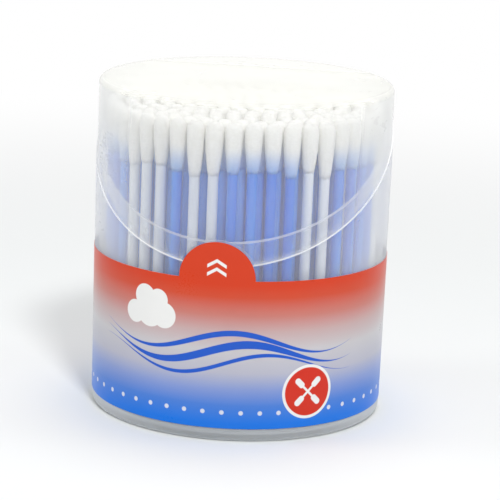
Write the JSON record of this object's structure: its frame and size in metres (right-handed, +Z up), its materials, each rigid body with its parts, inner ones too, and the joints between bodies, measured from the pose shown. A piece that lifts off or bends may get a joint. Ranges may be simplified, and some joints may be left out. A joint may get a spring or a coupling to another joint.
{
  "type": "cotton swab tub",
  "caption": "Round clear flip-top tub with a film label and press tab, filled with two-ended cotton buds on blue and white sticks.",
  "frame": {"origin": "centre of the foot ring, on the surface that the tub stands on", "axes": "+Z up along the tub, -Y towards the press tab and the lid's front, +X to the right as seen from the front"},
  "size_m": [0.073, 0.0731, 0.0816],
  "materials": {
    "clear_plastic": "clear, slightly hazy moulded polypropylene",
    "label_film": "glossy printed film",
    "blue_stick": "satin extruded plastic",
    "white_stick": "satin extruded plastic",
    "cotton": "soft wound cotton"
  },
  "bodies": {
    "tub": {"drum_body": "clear_plastic", "base_cap": "clear_plastic", "label": "label_film", "blue_sticks_ring_1": "blue_stick", "blue_sticks_ring_2": "blue_stick", "blue_sticks_ring_3": "blue_stick", "blue_sticks_ring_4": "blue_stick", "blue_sticks_ring_5": "blue_stick", "blue_sticks_ring_6": "blue_stick", "blue_sticks_ring_7": "blue_stick", "blue_sticks_ring_8": "blue_stick", "white_sticks_ring_1": "white_stick", "white_sticks_ring_2": "white_stick", "white_sticks_ring_3": "white_stick", "white_sticks_ring_4": "white_stick", "white_sticks_ring_5": "white_stick", "white_sticks_ring_6": "white_stick", "white_sticks_ring_7": "white_stick", "white_sticks_ring_8": "white_stick", "cotton_tips_ring_1": "cotton", "cotton_tips_ring_2": "cotton", "cotton_tips_ring_3": "cotton", "cotton_tips_ring_4": "cotton", "cotton_tips_ring_5": "cotton", "cotton_tips_ring_6": "cotton", "cotton_tips_ring_7": "cotton", "cotton_tips_ring_8": "cotton"},
    "lid": {"flip_lid": "clear_plastic"}
  },
  "joints": [
    {"name": "lid_hinge", "type": "hinge", "parent": "tub", "child": "lid", "pos_m": [0, 0.0209, 0.0811], "axis": [-1, 0, 0], "range_deg": [0, 110]}
  ]
}
